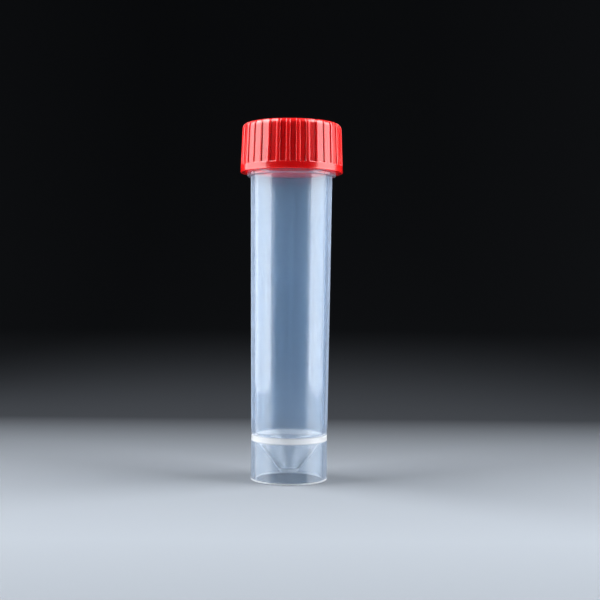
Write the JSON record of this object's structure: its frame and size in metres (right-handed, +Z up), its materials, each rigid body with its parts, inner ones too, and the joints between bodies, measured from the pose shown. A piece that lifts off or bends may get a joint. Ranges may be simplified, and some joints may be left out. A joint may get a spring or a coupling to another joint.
{
  "type": "self-standing sample tube",
  "caption": "Self-standing plastic sample tube with a conical floor inside a standing skirt, closed by a ribbed red screw cap that turns and lifts off its threaded neck.",
  "frame": {"origin": "centre of the skirt's foot, on the surface that the tube stands on", "axes": "+Z up the tube's axis towards the cap, -Y towards the viewer"},
  "size_m": [0.031, 0.031, 0.1071],
  "materials": {
    "tube_plastic": "translucent natural polypropylene, glossy with a faint haze",
    "seal_silicone": "satin, milky white",
    "cap_plastic": "glossy moulded red"
  },
  "bodies": {
    "tube": {"tube_body": "tube_plastic"},
    "seal": {"sealing_ring": "seal_silicone"},
    "cap": {"screw_cap": "cap_plastic"}
  },
  "joints": [
    {"name": "cap_lift", "type": "slide", "parent": "tube", "child": "seal", "axis": [0, 0, 1], "range_m": [0, 0.0141]},
    {"name": "cap_turn", "type": "hinge", "parent": "seal", "child": "cap", "pos_m": [0, 0, 0.1055], "axis": [0, 0, 1], "range_deg": [0, 1440]}
  ],
  "couplings": [
    {"joint": "cap_lift", "follows": "cap_turn", "m_per_rad": 0.00055704}
  ]
}
